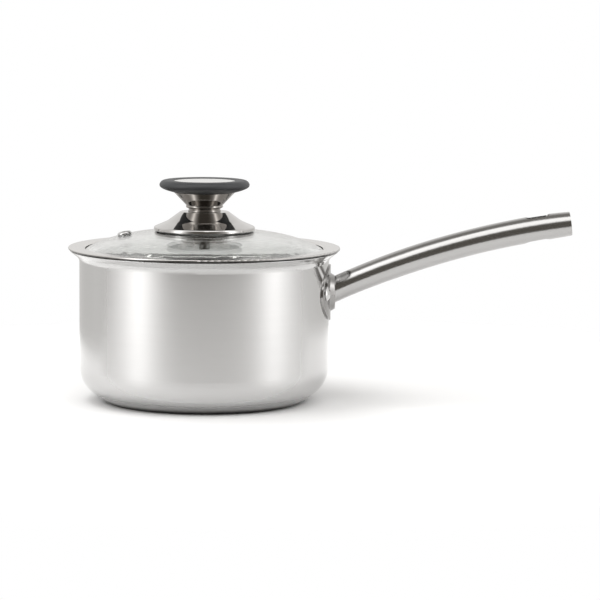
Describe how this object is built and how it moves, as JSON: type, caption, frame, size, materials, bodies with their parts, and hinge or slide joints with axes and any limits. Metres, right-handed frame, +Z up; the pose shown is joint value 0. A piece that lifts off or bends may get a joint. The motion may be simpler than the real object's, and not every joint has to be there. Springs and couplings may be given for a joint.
{
  "type": "milk pan",
  "caption": "Small steel saucepan with a flared pouring rim, one long tubular handle with a hanging slot, and a lift-off domed glass lid with a knob and steam vent.",
  "frame": {"origin": "centre of the flat underside, where the pan stands on the hob", "axes": "+X out along the handle, +Z up, +Y to the left of someone who looks along the handle from the pan"},
  "size_m": [0.3254, 0.1756, 0.1433],
  "materials": {
    "shell_steel": "polished to a soft satin",
    "base_steel": "satin with concentric turning marks",
    "core_aluminium": "plain",
    "bracket_steel": "bright pressed steel",
    "tube_steel": "brushed along its length",
    "rivet_steel": "satin",
    "lid_glass": "clear toughened glass",
    "band_steel": "bright polished steel",
    "vent_steel": "bright polished steel",
    "knob_steel": "mirror-polished steel",
    "grip_silicone": "matte dark grey",
    "inlay_steel": "satin, bare",
    "core_plastic": "plain moulded",
    "insert_brass": "plain",
    "screw_steel": "plain",
    "gasket_silicone": "pale translucent"
  },
  "bodies": {
    "pan": {"pan_shell": "shell_steel", "base_core": "core_aluminium", "base_cap": "base_steel", "handle_bracket": "bracket_steel", "handle_tube": "tube_steel", "handle_end_cap": "tube_steel", "handle_rivets": "rivet_steel"},
    "lid": {"lid_glass": "lid_glass", "lid_rim_band": "band_steel", "vent_eyelet": "vent_steel", "vent_gasket": "gasket_silicone", "knob_skirt": "knob_steel", "knob_stem": "knob_steel", "knob_core": "core_plastic", "knob_insert": "insert_brass", "knob_grip": "grip_silicone", "knob_inlay": "inlay_steel", "screw_gasket": "gasket_silicone", "screw_washer": "screw_steel", "knob_screw": "screw_steel"}
  },
  "joints": [
    {"name": "lid_lift", "type": "slide", "parent": "pan", "child": "lid", "axis": [0, 0, 1], "range_m": [0, 0.06]}
  ]
}
